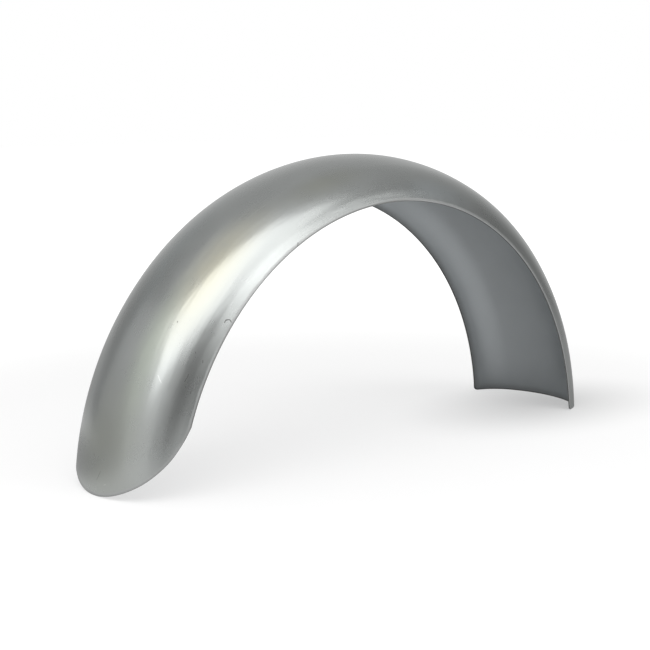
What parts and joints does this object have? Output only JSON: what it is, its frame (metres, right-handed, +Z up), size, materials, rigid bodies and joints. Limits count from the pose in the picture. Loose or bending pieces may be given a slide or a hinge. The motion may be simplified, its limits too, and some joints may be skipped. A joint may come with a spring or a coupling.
{
  "type": "motorcycle rear fender",
  "caption": "Bare formed-steel rear fender: a rounded channel section bent to an arch over the wheel, cut square at the front end and rounded at the tail.",
  "frame": {"origin": "on the floor that both ends stand on, half way along the fender's length and on its centre line", "axes": "+X towards the square front end, -X towards the rounded tail, +Y across the wheel, +Z up; the wheel's axis lies along Y, 21.5 mm below the origin"},
  "size_m": [0.6826, 0.16, 0.3205],
  "materials": {
    "raw_steel": "bare formed steel sheet, satin from hand finishing, with fine scratches, faint heat tint and ground edges"
  },
  "bodies": {
    "root": {"rear_fender": "raw_steel"}
  },
  "joints": []
}
